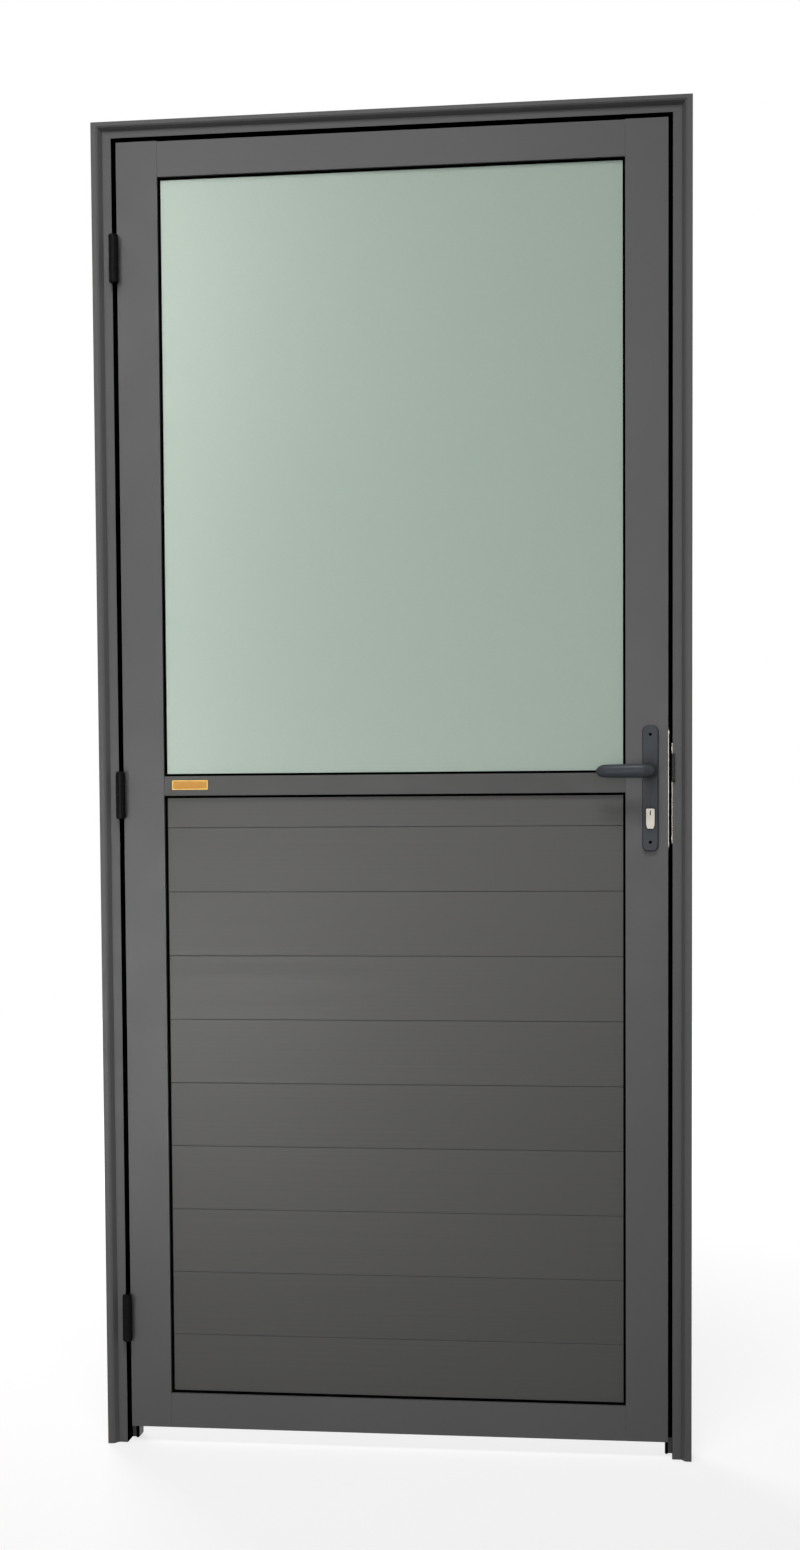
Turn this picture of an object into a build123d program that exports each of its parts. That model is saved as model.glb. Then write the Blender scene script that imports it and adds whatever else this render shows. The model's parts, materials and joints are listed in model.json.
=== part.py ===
# Half-glazed aluminium door in its frame: a rebated frame with a stepped trim,
# a hinged leaf with frosted glass above and horizontal planks below, and a lever handle.
#
# Axes: +X from the hinge jamb to the lock jamb, +Y from the trim side to the stop side, +Z up.
# Origin: on the wall face of the hinge jamb, at floor level, in the middle of the jamb's depth.
# All sizes are in millimetres.

import os

from build123d import *

# Frame: outside of the jambs and head, which stand inside the wall opening
frame_width = 900.0
frame_height = 2100.0
jamb_depth = 60.0
jamb_wall = 1.6
rebate = 9.0            # from the jamb's wall face to the face beside the leaf
stop_reach = 12.0       # how far the stop stands in from that face
head_share = 7.0 / 9.0  # the head's section is this much narrower than the jambs'

# Trim: stepped moulding that covers the joint with the wall
trim_overlap = 21.0     # over the wall, outwards from the jamb
trim_wall = 2.0
trim_rise = 10.0        # height of the raised rim above the flat
trim_rim = 7.5          # flat top of the rim
trim_bevel = 3.2        # gentle bevel beside it
trim_bevel_fall = 1.6
trim_slope = 5.6        # steep side down to the flat

# Leaf
side_gap = 7.0
top_gap = 6.0
floor_gap = 26.0
leaf_thickness = 25.0
leaf_recess = 4.0       # behind the flat of the trim
leaf_wall = 1.6
stile_width = 66.0
end_rail_height = 56.0
middle_rail_height = 31.0
middle_rail_base = 1054.0
rail_set_down = 1.0     # the top rail stands this much lower than the stiles
rail_seam = 0.25        # between the face of a rail and the lip of a stile
lip_reach = 10.0        # front lip that holds glass and planks
lip_thickness = 6.0
groove_width = 20.0     # hardware groove in the edges of the stiles
groove_depth = 2.5

# Glass, planks, gaskets and beads
pane_thickness = 5.0
pane_bite = 7.0         # how far glass and planks reach behind the lips
front_gasket = 2.0
gasket_show = 4.0       # width of the gasket that shows inside the lips
plank_pitch = 103.0
plank_thickness = 8.0
plank_skin = 1.2
plank_web_pitch = 24.0
plank_bevel = 0.9
tongue_height = 5.0
tongue_thickness = 2.4
tongue_play = 0.2
bead_chamfer = 4.0
bead_play = 0.2

# Seal between leaf and stop
seal_gap = 5.0
seal_width = 4.0
seal_play = 0.3
seal_inset = 0.5
seal_rounding = 1.0

# Hinges
hinge_from_top = 183.5   # from the leaf's top to the middle of the top hinge
hinge_from_bottom = 181.0
knuckle_count = 4
knuckle_length = 18.0
knuckle_play = 0.3
barrel_diameter = 15.4
barrel_stand_off = 0.8  # between the barrel and the flat of the trim
pin_diameter = 8.0
pin_play = 0.05
pin_cap = 2.0
pin_cap_chamfer = 1.5
hinge_plate = 2.5
hinge_plate_width = 24.0
hinge_plate_clear = 1.3
hinge_corner = 4.0
hinge_screw_diameter = 4.5
hinge_screw_head = 8.0
hinge_screw_pitch = 26.0

# Handles
backset = 27.5
plate_width = 25.0
plate_height = 196.0
plate_drop = 125.0      # from the lever's axis to the plate's lower end
plate_thickness = 7.0
plate_corner = 9.0
plate_rounding = 2.0
plate_screw_inset = 14.0
plate_screw_diameter = 5.0
lever_height = 1087.0
lever_reach = 83.5
lever_stand_off = 50.0  # from the leaf's face to the middle of the grip
lever_bend = 14.0
neck_diameter = 17.0
neck_play = 0.1
grip_height = 20.0      # at the tip
grip_root_height = 21.6
grip_depth = 13.0
grip_sweep_back = 6.0
tip_length = 16.0       # the grip's rounded end
collar_diameter = 23.0
collar_height = 2.5

# Lock
spindle_size = 8.0
spindle_bite = 16.0
spindle_play = 0.05
spindle_way = 12.4
cylinder_width = 13.0
cylinder_height = 31.0
cylinder_drop = 74.1    # from the lever's axis to the cylinder's middle
cylinder_corner = 2.0   # round corners at the top
cylinder_taper = 6.0    # height of the tapered lower end
cylinder_foot = 8.6     # width at its lower end
cylinder_proud = 3.5
cylinder_play = 0.15
plug_diameter = 10.4
plug_step = 0.8
keyway_width = 1.6
keyway_height = 7.4
keyway_depth = 6.0
case_thickness = 15.0
case_depth = 44.0
case_height = 164.0
faceplate_height = 192.0
faceplate_proud = 0.8   # over the edge of the stile
faceplate_drop = 28.5
latch_height = 22.0
latch_thickness = 12.0
bolt_height = 27.0
bolt_thickness = 10.0
bolt_length = 18.0
bolt_drop = 63.5
bolt_play = 0.2
latch_nose = 5.0

# Strike plate and latch guide on the lock jamb
strike_height = 158.0
strike_drop = 35.7
strike_width = 22.0
strike_thickness = 1.2
strike_margin = 3.0     # around the latch and the bolt
guide_height = 44.0
guide_lift = 5.0        # above the lever's axis
guide_reach = 3.7       # over the flat of the trim
guide_rise = 4.0
guide_depth = 5.0       # into the gap, behind the flat
guide_rounding = 2.2

# Holes for the anchors that hold the jambs to the wall
anchor_diameter = 10.5
anchor_count = 4
anchor_end = 300.0      # from the floor and from the head to the outer holes
anchor_depth = 10.0     # from the front of the jamb to the holes' axes

# Worked out from the sizes above
jamb_front = -jamb_depth / 2
jamb_back = jamb_depth / 2
trim_face = jamb_front - trim_wall
rim_face = trim_face - trim_rise
leaf_front = trim_face + leaf_recess
leaf_back = leaf_front + leaf_thickness
leaf_middle = (leaf_front + leaf_back) / 2
stop_face = leaf_back + seal_gap
frame_middle = frame_width / 2

leaf_left = rebate + side_gap
leaf_right = frame_width - leaf_left
leaf_bottom = floor_gap
leaf_top = frame_height - rebate * head_share - top_gap
sight_left = leaf_left + stile_width
sight_right = leaf_right - stile_width
rail_left = sight_left - lip_reach
rail_right = sight_right + lip_reach
panel_base = leaf_bottom + end_rail_height
panel_top = middle_rail_base
glass_base = middle_rail_base + middle_rail_height
glass_top = leaf_top - end_rail_height

lip_back = leaf_front + lip_thickness
pane_front = lip_back + front_gasket
pane_back = pane_front + pane_thickness
plank_back = pane_front + plank_thickness
bead_front = plank_back

hinge_x = leaf_left - hinge_plate
hinge_y = trim_face - barrel_stand_off - barrel_diameter / 2
hinge_top = leaf_top - hinge_from_top
hinge_bottom = leaf_bottom + hinge_from_bottom
hinge_heights = {
    "bottom": hinge_bottom,
    "middle": (hinge_bottom + hinge_top) / 2,
    "top": hinge_top,
}
anchor_middle = frame_height / 2
anchor_pitch = (frame_height - 2 * anchor_end) / (anchor_count - 1)
handle_x = leaf_right - backset
plate_middle = lever_height - plate_drop + plate_height / 2
cylinder_middle = lever_height - cylinder_drop
faceplate_middle = lever_height - faceplate_drop
bolt_middle = lever_height - bolt_drop
strike_middle = lever_height - strike_drop
guide_middle = lever_height + guide_lift
groove_floor = leaf_right - groove_depth
strike_face = frame_width - rebate

os.makedirs("parts", exist_ok=True)


def write(piece, name):
    """Label a finished piece and write it under its own name."""
    piece.part.label = name
    export_step(piece.part, f"parts/{name}.step")


# Planes that several pieces share

centre_plane = Plane.YZ.offset(frame_middle)
leaf_middle_plane = Plane.XZ.offset(-leaf_middle)
floor_plane = Plane.XY
head_plane = Plane(origin=(-trim_overlap, 0, frame_height), x_dir=(0, 0, -1), z_dir=(1, 0, 0))
mitre_left = Plane(
    origin=(-trim_overlap, 0, frame_height + trim_overlap * head_share),
    x_dir=(0, 1, 0),
    z_dir=(head_share, 0, 1),
)
mitre_right = Plane(
    origin=(frame_width + trim_overlap, 0, frame_height + trim_overlap * head_share),
    x_dir=(0, 1, 0),
    z_dir=(-head_share, 0, 1),
)
head_length = frame_width + 2 * trim_overlap
jamb_length = frame_height + trim_overlap


# Frame: hollow jambs and head, mitred, with hollow stops clipped on behind the leaf

def box_section(share, near, far, front, back):
    """Hollow box section; x runs in from the wall face, y through the frame's depth."""
    with BuildSketch() as section:
        with Locations((near * share, front)):
            Rectangle((far - near) * share, back - front, align=(Align.MIN, Align.MIN))
        with Locations((near * share + jamb_wall, front + jamb_wall)):
            Rectangle(
                (far - near) * share - 2 * jamb_wall,
                back - front - 2 * jamb_wall,
                align=(Align.MIN, Align.MIN),
                mode=Mode.SUBTRACT,
            )
    return section.sketch


def jamb_section(share):
    """Section between the wall and the face beside the leaf."""
    return box_section(share, 0, rebate, jamb_front, jamb_back)


def stop_section(share):
    """Section that stands in behind the leaf."""
    return box_section(share, rebate, rebate + stop_reach, stop_face, jamb_back)


anchor_plane = Plane(
    origin=(0, jamb_front + anchor_depth, anchor_middle), x_dir=(0, 1, 0), z_dir=(1, 0, 0)
)
strike_plane = Plane(origin=(strike_face, leaf_middle, 0), x_dir=(0, 1, 0), z_dir=(1, 0, 0))


def strike_openings():
    """Openings for the latch and the bolt, seen along the jamb's face."""
    with BuildSketch() as openings:
        with Locations((0, lever_height)):
            Rectangle(latch_thickness + 2 * bolt_play, latch_height + 2 * strike_margin)
        with Locations((0, bolt_middle)):
            Rectangle(bolt_thickness + 2 * bolt_play, bolt_height + 2 * strike_margin)
    return openings.sketch


with BuildPart() as jamb_hinge_side:
    with BuildSketch(floor_plane):
        add(jamb_section(1))
    extrude(amount=jamb_length)
    split(bisect_by=mitre_left, keep=Keep.BOTTOM)
    with BuildSketch(anchor_plane):
        with GridLocations(0, anchor_pitch, 1, anchor_count):
            Circle(anchor_diameter / 2)
    extrude(amount=rebate, mode=Mode.SUBTRACT)
write(jamb_hinge_side, "jamb_hinge_side")

with BuildPart() as jamb_lock_side:
    mirror(jamb_hinge_side.part, about=centre_plane)
    with BuildSketch(strike_plane):
        add(strike_openings())
    extrude(amount=jamb_wall, mode=Mode.SUBTRACT)
write(jamb_lock_side, "jamb_lock_side")

with BuildPart() as frame_head:
    with BuildSketch(head_plane):
        add(jamb_section(head_share))
    extrude(amount=head_length)
    split(bisect_by=mitre_left, keep=Keep.TOP)
    split(bisect_by=mitre_right, keep=Keep.TOP)
write(frame_head, "frame_head")

with BuildPart() as stop_hinge_side:
    with BuildSketch(floor_plane):
        add(stop_section(1))
    extrude(amount=jamb_length)
    split(bisect_by=mitre_left, keep=Keep.BOTTOM)
write(stop_hinge_side, "stop_hinge_side")

with BuildPart() as stop_lock_side:
    mirror(stop_hinge_side.part, about=centre_plane)
write(stop_lock_side, "stop_lock_side")

with BuildPart() as stop_head:
    with BuildSketch(head_plane):
        add(stop_section(head_share))
    extrude(amount=head_length)
    split(bisect_by=mitre_left, keep=Keep.TOP)
    split(bisect_by=mitre_right, keep=Keep.TOP)
write(stop_head, "stop_head")


# Trim: flat, steep slope and bevelled rim, open at the back, with the frame's mitres

def trim_section(share):
    """Thin moulding; x runs in from the wall face, y through the frame's depth."""
    outer = -trim_overlap * share
    rim_end = outer + trim_rim * share
    bevel_end = rim_end + trim_bevel * share
    flat_start = bevel_end + trim_slope * share
    bevel_foot = rim_face + trim_bevel_fall
    slope_run = trim_slope * share / (trim_face - bevel_foot)
    inner = rebate * share
    room_back = jamb_front + trim_wall
    with BuildSketch() as section:
        with BuildLine():
            Polyline(
                (outer, rim_face),
                (rim_end, rim_face),
                (bevel_end, bevel_foot),
                (flat_start, trim_face),
                (inner, trim_face),
                (inner, jamb_front),
                (outer, jamb_front),
                close=True,
            )
        make_face()
        with BuildSketch(mode=Mode.SUBTRACT):
            with BuildLine():
                Polyline(
                    (outer, rim_face),
                    (rim_end, rim_face),
                    (bevel_end, bevel_foot),
                    (flat_start + (room_back - trim_face) * slope_run, room_back),
                    (outer, room_back),
                    close=True,
                )
            make_face()
            offset(amount=-trim_wall, kind=Kind.INTERSECTION)
    return section.sketch


with BuildPart() as trim_hinge_side:
    with BuildSketch(floor_plane):
        add(trim_section(1))
    extrude(amount=jamb_length)
    split(bisect_by=mitre_left, keep=Keep.BOTTOM)
write(trim_hinge_side, "trim_hinge_side")

with BuildPart() as trim_lock_side:
    mirror(trim_hinge_side.part, about=centre_plane)
write(trim_lock_side, "trim_lock_side")

with BuildPart() as trim_head:
    with BuildSketch(head_plane):
        add(trim_section(head_share))
    extrude(amount=head_length)
    split(bisect_by=mitre_left, keep=Keep.TOP)
    split(bisect_by=mitre_right, keep=Keep.TOP)
write(trim_head, "trim_head")


# Seal: soft strip on the stop, round the sides and the top

seal_edge = leaf_left + seal_inset
seal_top = leaf_top - seal_inset
stop_edge_top = frame_height - (rebate + stop_reach) * head_share

with BuildPart() as rebate_seal:
    with BuildSketch(Plane.XZ.offset(-stop_face)):
        with Locations((frame_middle, 0)):
            Rectangle(frame_width - 2 * seal_edge, seal_top, align=(Align.CENTER, Align.MIN))
            Rectangle(
                frame_width - 2 * (seal_edge + seal_width),
                stop_edge_top + seal_inset,
                align=(Align.CENTER, Align.MIN),
                mode=Mode.SUBTRACT,
            )
    extrude(amount=seal_gap - seal_play)
    front_edges = rebate_seal.faces().sort_by(Axis.Y)[0].edges().filter_by(GeomType.LINE)
    upright_edges = front_edges.filter_by(Axis.Z)
    fillet(upright_edges, seal_rounding)
write(rebate_seal, "rebate_seal")


# Leaf: hollow stiles and rails with a front lip

def stile_section():
    """Hollow stile; x runs in from the leaf's edge, y through the leaf's thickness."""
    core = stile_width - lip_reach
    with BuildSketch() as section:
        with Locations((0, leaf_front)):
            Rectangle(core, leaf_thickness, align=(Align.MIN, Align.MIN))
            Rectangle(stile_width, lip_thickness, align=(Align.MIN, Align.MIN))
        with Locations((0, leaf_middle)):
            Rectangle(
                groove_depth, groove_width, align=(Align.MIN, Align.CENTER), mode=Mode.SUBTRACT
            )
        with Locations((groove_depth + leaf_wall, leaf_front + leaf_wall)):
            Rectangle(
                core - groove_depth - 2 * leaf_wall,
                leaf_thickness - 2 * leaf_wall,
                align=(Align.MIN, Align.MIN),
                mode=Mode.SUBTRACT,
            )
        with Locations((core, leaf_front + leaf_wall)):
            Rectangle(
                lip_reach - leaf_wall,
                lip_thickness - 2 * leaf_wall,
                align=(Align.MIN, Align.MIN),
                mode=Mode.SUBTRACT,
            )
    return section.sketch


stile_plane = Plane(origin=(leaf_left, 0, leaf_bottom))
leaf_height = leaf_top - leaf_bottom

with BuildPart() as stile_hinge_side:
    with BuildSketch(stile_plane):
        add(stile_section())
    extrude(amount=leaf_height)
write(stile_hinge_side, "stile_hinge_side")


def cylinder_outline(play):
    """Outline of the lock cylinder, tapered at its lower end, with some play around it."""
    top = cylinder_height / 2
    with BuildSketch() as outline:
        with BuildLine():
            Polyline(
                (-cylinder_foot / 2, -top),
                (cylinder_foot / 2, -top),
                (cylinder_width / 2, -top + cylinder_taper),
                (cylinder_width / 2, top),
                (-cylinder_width / 2, top),
                (-cylinder_width / 2, -top + cylinder_taper),
                close=True,
            )
        make_face()
        top_corners = outline.vertices().group_by(Axis.Y)[-1]
        fillet(top_corners, cylinder_corner)
        if play:
            offset(amount=play)
    return outline.sketch


leaf_front_plane = Plane.XZ.offset(-leaf_front)
groove_plane = Plane(origin=(groove_floor, leaf_middle, 0), x_dir=(0, -1, 0), z_dir=(-1, 0, 0))

with BuildPart() as stile_lock_side:
    mirror(stile_hinge_side.part, about=centre_plane)
    with BuildSketch(leaf_front_plane):
        with Locations((handle_x, lever_height)):
            Circle(collar_diameter / 2)
        with Locations((handle_x, cylinder_middle)):
            add(cylinder_outline(cylinder_play))
    extrude(amount=-leaf_thickness, mode=Mode.SUBTRACT)
    with BuildSketch(groove_plane):
        with Locations((0, faceplate_middle)):
            Rectangle(case_thickness + 2 * bolt_play, case_height + 2 * bolt_play)
    extrude(amount=leaf_wall, mode=Mode.SUBTRACT)
write(stile_lock_side, "stile_lock_side")


def rail_section(height, lips):
    """Hollow rail seen from its end; x is depth, y is height; lips lists the lipped edges."""
    core_low = lip_reach if "low" in lips else 0
    core_high = height - (lip_reach if "high" in lips else 0)
    with BuildSketch() as section:
        with Locations((leaf_front, core_low)):
            Rectangle(leaf_thickness, core_high - core_low, align=(Align.MIN, Align.MIN))
        with Locations((leaf_front, 0)):
            Rectangle(lip_thickness, height, align=(Align.MIN, Align.MIN))
        with Locations((leaf_front + leaf_wall, core_low + leaf_wall)):
            Rectangle(
                leaf_thickness - 2 * leaf_wall,
                core_high - core_low - 2 * leaf_wall,
                align=(Align.MIN, Align.MIN),
                mode=Mode.SUBTRACT,
            )
        with Locations((leaf_front + leaf_wall, leaf_wall)):
            Rectangle(
                lip_thickness - 2 * leaf_wall,
                height - 2 * leaf_wall,
                align=(Align.MIN, Align.MIN),
                mode=Mode.SUBTRACT,
            )
    return section.sketch


def rail(name, base, height, lips):
    """Rail whose front butts against the stiles' lips and whose core runs on behind them."""
    with BuildPart() as piece:
        with BuildSketch(Plane(origin=(rail_left, 0, base), x_dir=(0, 1, 0), z_dir=(1, 0, 0))):
            add(rail_section(height, lips))
        extrude(amount=rail_right - rail_left)
        with BuildSketch(Plane.XY.offset(base)):
            with Locations((rail_left, leaf_front)):
                Rectangle(lip_reach + rail_seam, lip_thickness, align=(Align.MIN, Align.MIN))
            with Locations((rail_right, leaf_front)):
                Rectangle(lip_reach + rail_seam, lip_thickness, align=(Align.MAX, Align.MIN))
        extrude(amount=height, mode=Mode.SUBTRACT)
    write(piece, name)


rail("rail_bottom", leaf_bottom, end_rail_height, ("high",))
rail("rail_middle", middle_rail_base, middle_rail_height, ("low", "high"))
rail("rail_top", glass_top, end_rail_height - rail_set_down, ("low",))


# Glass, gaskets and beads

def sight_plane(depth):
    """Upright plane at a depth, facing the trim side."""
    return Plane.XZ.offset(-depth)


def sight_rectangle(base, top, grow):
    """Rectangle of an opening in the leaf, grown or shrunk on every side."""
    with BuildSketch() as outline:
        with Locations((frame_middle, (base + top) / 2)):
            Rectangle(sight_right - sight_left + 2 * grow, top - base + 2 * grow)
    return outline.sketch


with BuildPart() as glass_pane:
    with BuildSketch(sight_plane(pane_back)):
        add(sight_rectangle(glass_base, glass_top, pane_bite))
    extrude(amount=pane_thickness)
write(glass_pane, "glass_pane")


def gasket(name, base, top, backed):
    """Black gasket in front of glass or planks, and behind the glass where it is backed."""
    with BuildPart() as piece:
        with BuildSketch(sight_plane(pane_front)):
            add(sight_rectangle(base, top, pane_bite))
            add(sight_rectangle(base, top, -gasket_show), mode=Mode.SUBTRACT)
        extrude(amount=front_gasket)
        if backed:
            with BuildSketch(sight_plane(bead_front)):
                add(sight_rectangle(base, top, pane_bite))
                add(sight_rectangle(base, top, 0), mode=Mode.SUBTRACT)
            extrude(amount=bead_front - pane_back)
    write(piece, name)


gasket("glass_gasket", glass_base, glass_top, True)
gasket("panel_gasket", panel_base, panel_top, False)


def beads(name, base, top):
    """Four chamfered bars that hold glass or planks from the back."""
    depth = leaf_back - bead_front
    across = rail_right - rail_left
    inner_height = top - base
    with BuildSketch() as section:
        with BuildLine():
            Polyline(
                (0, 0),
                (lip_reach, 0),
                (lip_reach, depth - bead_chamfer),
                (lip_reach - bead_chamfer, depth),
                (0, depth),
                close=True,
            )
        make_face()
    with BuildPart() as piece:
        with BuildSketch(Plane(origin=(rail_left, bead_front, base - lip_reach),
                               x_dir=(0, 0, 1), z_dir=(-1, 0, 0))):
            add(section.sketch)
        extrude(amount=-across)
        with BuildSketch(Plane(origin=(rail_left, bead_front, top + lip_reach),
                               x_dir=(0, 0, -1), z_dir=(1, 0, 0))):
            add(section.sketch)
        extrude(amount=across)
        with BuildSketch(Plane(origin=(rail_left, bead_front, base + bead_play))):
            add(section.sketch)
        extrude(amount=inner_height - 2 * bead_play)
        with BuildSketch(Plane(origin=(rail_right, bead_front, base + bead_play),
                               x_dir=(-1, 0, 0), z_dir=(0, 0, -1))):
            add(section.sketch)
        extrude(amount=-(inner_height - 2 * bead_play))
    write(piece, name)


beads("glass_beads", glass_base, glass_top)
beads("panel_beads", panel_base, panel_top)


# Planks: hollow boards with tongues, grooves and bevelled joints

def plank_section(height, tongue, groove):
    """Hollow plank seen from its end; x is depth from its face, y is height."""
    middle = plank_thickness / 2
    web_room = height - 2 * plank_skin - (tongue_height + plank_skin if groove else 0)
    chambers = max(1, round(web_room / plank_web_pitch))
    chamber_height = (web_room - (chambers - 1) * plank_skin) / chambers
    chamber_base = plank_skin + (tongue_height + plank_skin if groove else 0)
    with BuildSketch() as section:
        Rectangle(plank_thickness, height, align=(Align.MIN, Align.MIN))
        front_corners = section.vertices().group_by(Axis.X)[0]
        chamfer(front_corners, plank_bevel)
        if tongue:
            with Locations((middle, height)):
                Rectangle(tongue_thickness, tongue_height, align=(Align.CENTER, Align.MIN))
        if groove:
            with Locations((middle, 0)):
                Rectangle(
                    tongue_thickness + 2 * tongue_play,
                    tongue_height + tongue_play,
                    align=(Align.CENTER, Align.MIN),
                    mode=Mode.SUBTRACT,
                )
        for i in range(chambers):
            with Locations((middle, chamber_base + i * (chamber_height + plank_skin))):
                Rectangle(
                    plank_thickness - 2 * plank_skin,
                    chamber_height,
                    align=(Align.CENTER, Align.MIN),
                    mode=Mode.SUBTRACT,
                )
    return section.sketch


planks_base = panel_base - pane_bite
planks_top = panel_top + pane_bite
planks_left = sight_left - pane_bite
planks_right = sight_right + pane_bite
plank_count = int(-((planks_top - planks_base) // -plank_pitch))

for i in range(plank_count):
    low = planks_base + i * plank_pitch
    high = min(low + plank_pitch, planks_top)
    last = i == plank_count - 1
    with BuildPart() as plank:
        with BuildSketch(Plane(origin=(planks_left, pane_front, low),
                               x_dir=(0, 1, 0), z_dir=(1, 0, 0))):
            add(plank_section(high - low, tongue=not last, groove=i > 0))
        extrude(amount=planks_right - planks_left)
    write(plank, f"plank_{i + 1:02d}")


# Hinges: two plates in the gap, joined by a barrel of knuckles in front of it

hinge_length = knuckle_count * knuckle_length
frame_knuckles = range(0, knuckle_count, 2)
leaf_knuckles = range(1, knuckle_count, 2)


def hinge_half(name, middle, knuckles, plate_left, facing, with_pin):
    """One half of a hinge: a countersunk plate, its knuckles and, on the frame, the pin."""
    base = middle - hinge_length / 2
    plate_front = hinge_y + barrel_diameter / 2 + hinge_plate_clear
    bore = 0 if with_pin else pin_diameter / 2 + pin_play
    with BuildPart() as half:
        with BuildSketch(Plane(origin=(plate_left, plate_front + hinge_plate_width / 2, middle),
                               x_dir=(0, 1, 0), z_dir=(1, 0, 0))):
            Rectangle(hinge_plate_width, hinge_length)
        extrude(amount=hinge_plate)
        back_corners = half.edges().filter_by(Axis.X).group_by(Axis.Y)[-1]
        fillet(back_corners, hinge_corner)
        for k in knuckles:
            low = base + k * knuckle_length + knuckle_play / 2
            with BuildSketch(Plane.XY.offset(low)):
                with Locations((hinge_x, hinge_y)):
                    Circle(barrel_diameter / 2)
                with Locations((plate_left, hinge_y)):
                    Rectangle(
                        hinge_plate, plate_front - hinge_y, align=(Align.MIN, Align.MIN)
                    )
                if bore:
                    with Locations((hinge_x, hinge_y)):
                        Circle(bore, mode=Mode.SUBTRACT)
            extrude(amount=knuckle_length - knuckle_play)
        if with_pin:
            with BuildSketch(Plane.XY.offset(base)):
                with Locations((hinge_x, hinge_y)):
                    Circle(pin_diameter / 2)
            extrude(amount=hinge_length + knuckle_play)
            with BuildSketch(Plane.XY.offset(base + hinge_length + knuckle_play)):
                with Locations((hinge_x, hinge_y)):
                    Circle(barrel_diameter / 2)
            extrude(amount=pin_cap)
            with BuildSketch(Plane.XY.offset(base + knuckle_play / 2 - pin_cap)):
                with Locations((hinge_x, hinge_y)):
                    Circle(barrel_diameter / 2)
            extrude(amount=pin_cap)
            cap_rims = half.edges().filter_by(GeomType.CIRCLE).sort_by(Axis.Z)
            chamfer([cap_rims[0], cap_rims[-1]], pin_cap_chamfer)
        screw_face = plate_left if facing < 0 else plate_left + hinge_plate
        with Locations(Plane(origin=(screw_face, plate_front + hinge_plate_width / 2, middle),
                             x_dir=(0, 1, 0), z_dir=(facing, 0, 0))):
            with GridLocations(0, hinge_screw_pitch, 1, 3):
                CounterSinkHole(hinge_screw_diameter / 2, hinge_screw_head / 2, hinge_plate)
    write(half, name)


for place, middle in hinge_heights.items():
    hinge_half(f"hinge_{place}_frame_half", middle, frame_knuckles, rebate, 1, True)
    hinge_half(f"hinge_{place}_leaf_half", middle, leaf_knuckles, hinge_x, -1, False)


# Lock: faceplate in the groove, case behind it, latch and bolt drawn back, cylinder


def bolt_ways(play):
    """Sections of the latch and the dead bolt, with some play around them."""
    with BuildSketch() as ways:
        with Locations((0, lever_height)):
            Rectangle(latch_thickness + 2 * play, latch_height + 2 * play)
        with Locations((0, bolt_middle)):
            Rectangle(bolt_thickness + 2 * play, bolt_height + 2 * play)
    return ways.sketch


with BuildPart() as lock_faceplate:
    with BuildSketch(groove_plane):
        with Locations((0, faceplate_middle)):
            SlotOverall(faceplate_height, groove_width, rotation=90)
        add(bolt_ways(bolt_play), mode=Mode.SUBTRACT)
    extrude(amount=-(groove_depth + faceplate_proud))
write(lock_faceplate, "lock_faceplate")

with BuildPart() as lock_case:
    with BuildSketch(groove_plane):
        with Locations((0, faceplate_middle)):
            Rectangle(case_thickness, case_height)
    extrude(amount=case_depth)
    with BuildSketch(groove_plane):
        add(bolt_ways(bolt_play))
    extrude(amount=bolt_length - groove_depth - faceplate_proud, mode=Mode.SUBTRACT)
    with BuildSketch(leaf_front_plane):
        with Locations((handle_x, lever_height)):
            Circle(spindle_way / 2)
        with Locations((handle_x, cylinder_middle)):
            add(cylinder_outline(cylinder_play))
    extrude(amount=-leaf_thickness, mode=Mode.SUBTRACT)
write(lock_case, "lock_case")

bolt_face_plane = groove_plane.offset(-(groove_depth + faceplate_proud))

with BuildPart() as latch_bolt:
    with BuildSketch(bolt_face_plane):
        with Locations((0, lever_height)):
            Rectangle(latch_thickness, latch_height)
    extrude(amount=bolt_length)
    nose_edge = latch_bolt.faces().sort_by(Axis.X)[-1].edges().sort_by(Axis.Y)[-1]
    chamfer(nose_edge, latch_nose)
write(latch_bolt, "latch_bolt")

with BuildPart() as dead_bolt:
    with BuildSketch(bolt_face_plane):
        with Locations((0, bolt_middle)):
            Rectangle(bolt_thickness, bolt_height)
    extrude(amount=bolt_length)
write(dead_bolt, "dead_bolt")

cylinder_front = leaf_front - plate_thickness - cylinder_proud
cylinder_length = 2 * (leaf_middle - cylinder_front)
plug_middle = cylinder_middle + cylinder_height / 2 - cylinder_width / 2

with BuildPart() as lock_cylinder:
    with BuildSketch(Plane.XZ.offset(-cylinder_front)):
        with Locations((handle_x, cylinder_middle)):
            add(cylinder_outline(0))
    extrude(amount=-cylinder_length)
    for face, outwards in ((cylinder_front, 1), (cylinder_front + cylinder_length, -1)):
        with BuildSketch(Plane.XZ.offset(-face)):
            with Locations((handle_x, plug_middle)):
                Circle(plug_diameter / 2)
        extrude(amount=outwards * plug_step)
        with BuildSketch(Plane.XZ.offset(-face + outwards * plug_step)):
            with Locations((handle_x, plug_middle)):
                Rectangle(keyway_width, keyway_height)
        extrude(amount=-outwards * keyway_depth, mode=Mode.SUBTRACT)
write(lock_cylinder, "lock_cylinder")


# Strike plate and latch guide

with BuildPart() as strike_plate:
    with BuildSketch(strike_plane):
        with Locations((0, strike_middle)):
            Rectangle(strike_width, strike_height)
        add(strike_openings(), mode=Mode.SUBTRACT)
    extrude(amount=-strike_thickness)
    fillet(strike_plate.edges().filter_by(Axis.X).group_by(Axis.Z)[0], strike_margin)
    fillet(strike_plate.edges().filter_by(Axis.X).group_by(Axis.Z)[-1], strike_margin)
write(strike_plate, "strike_plate")

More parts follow.
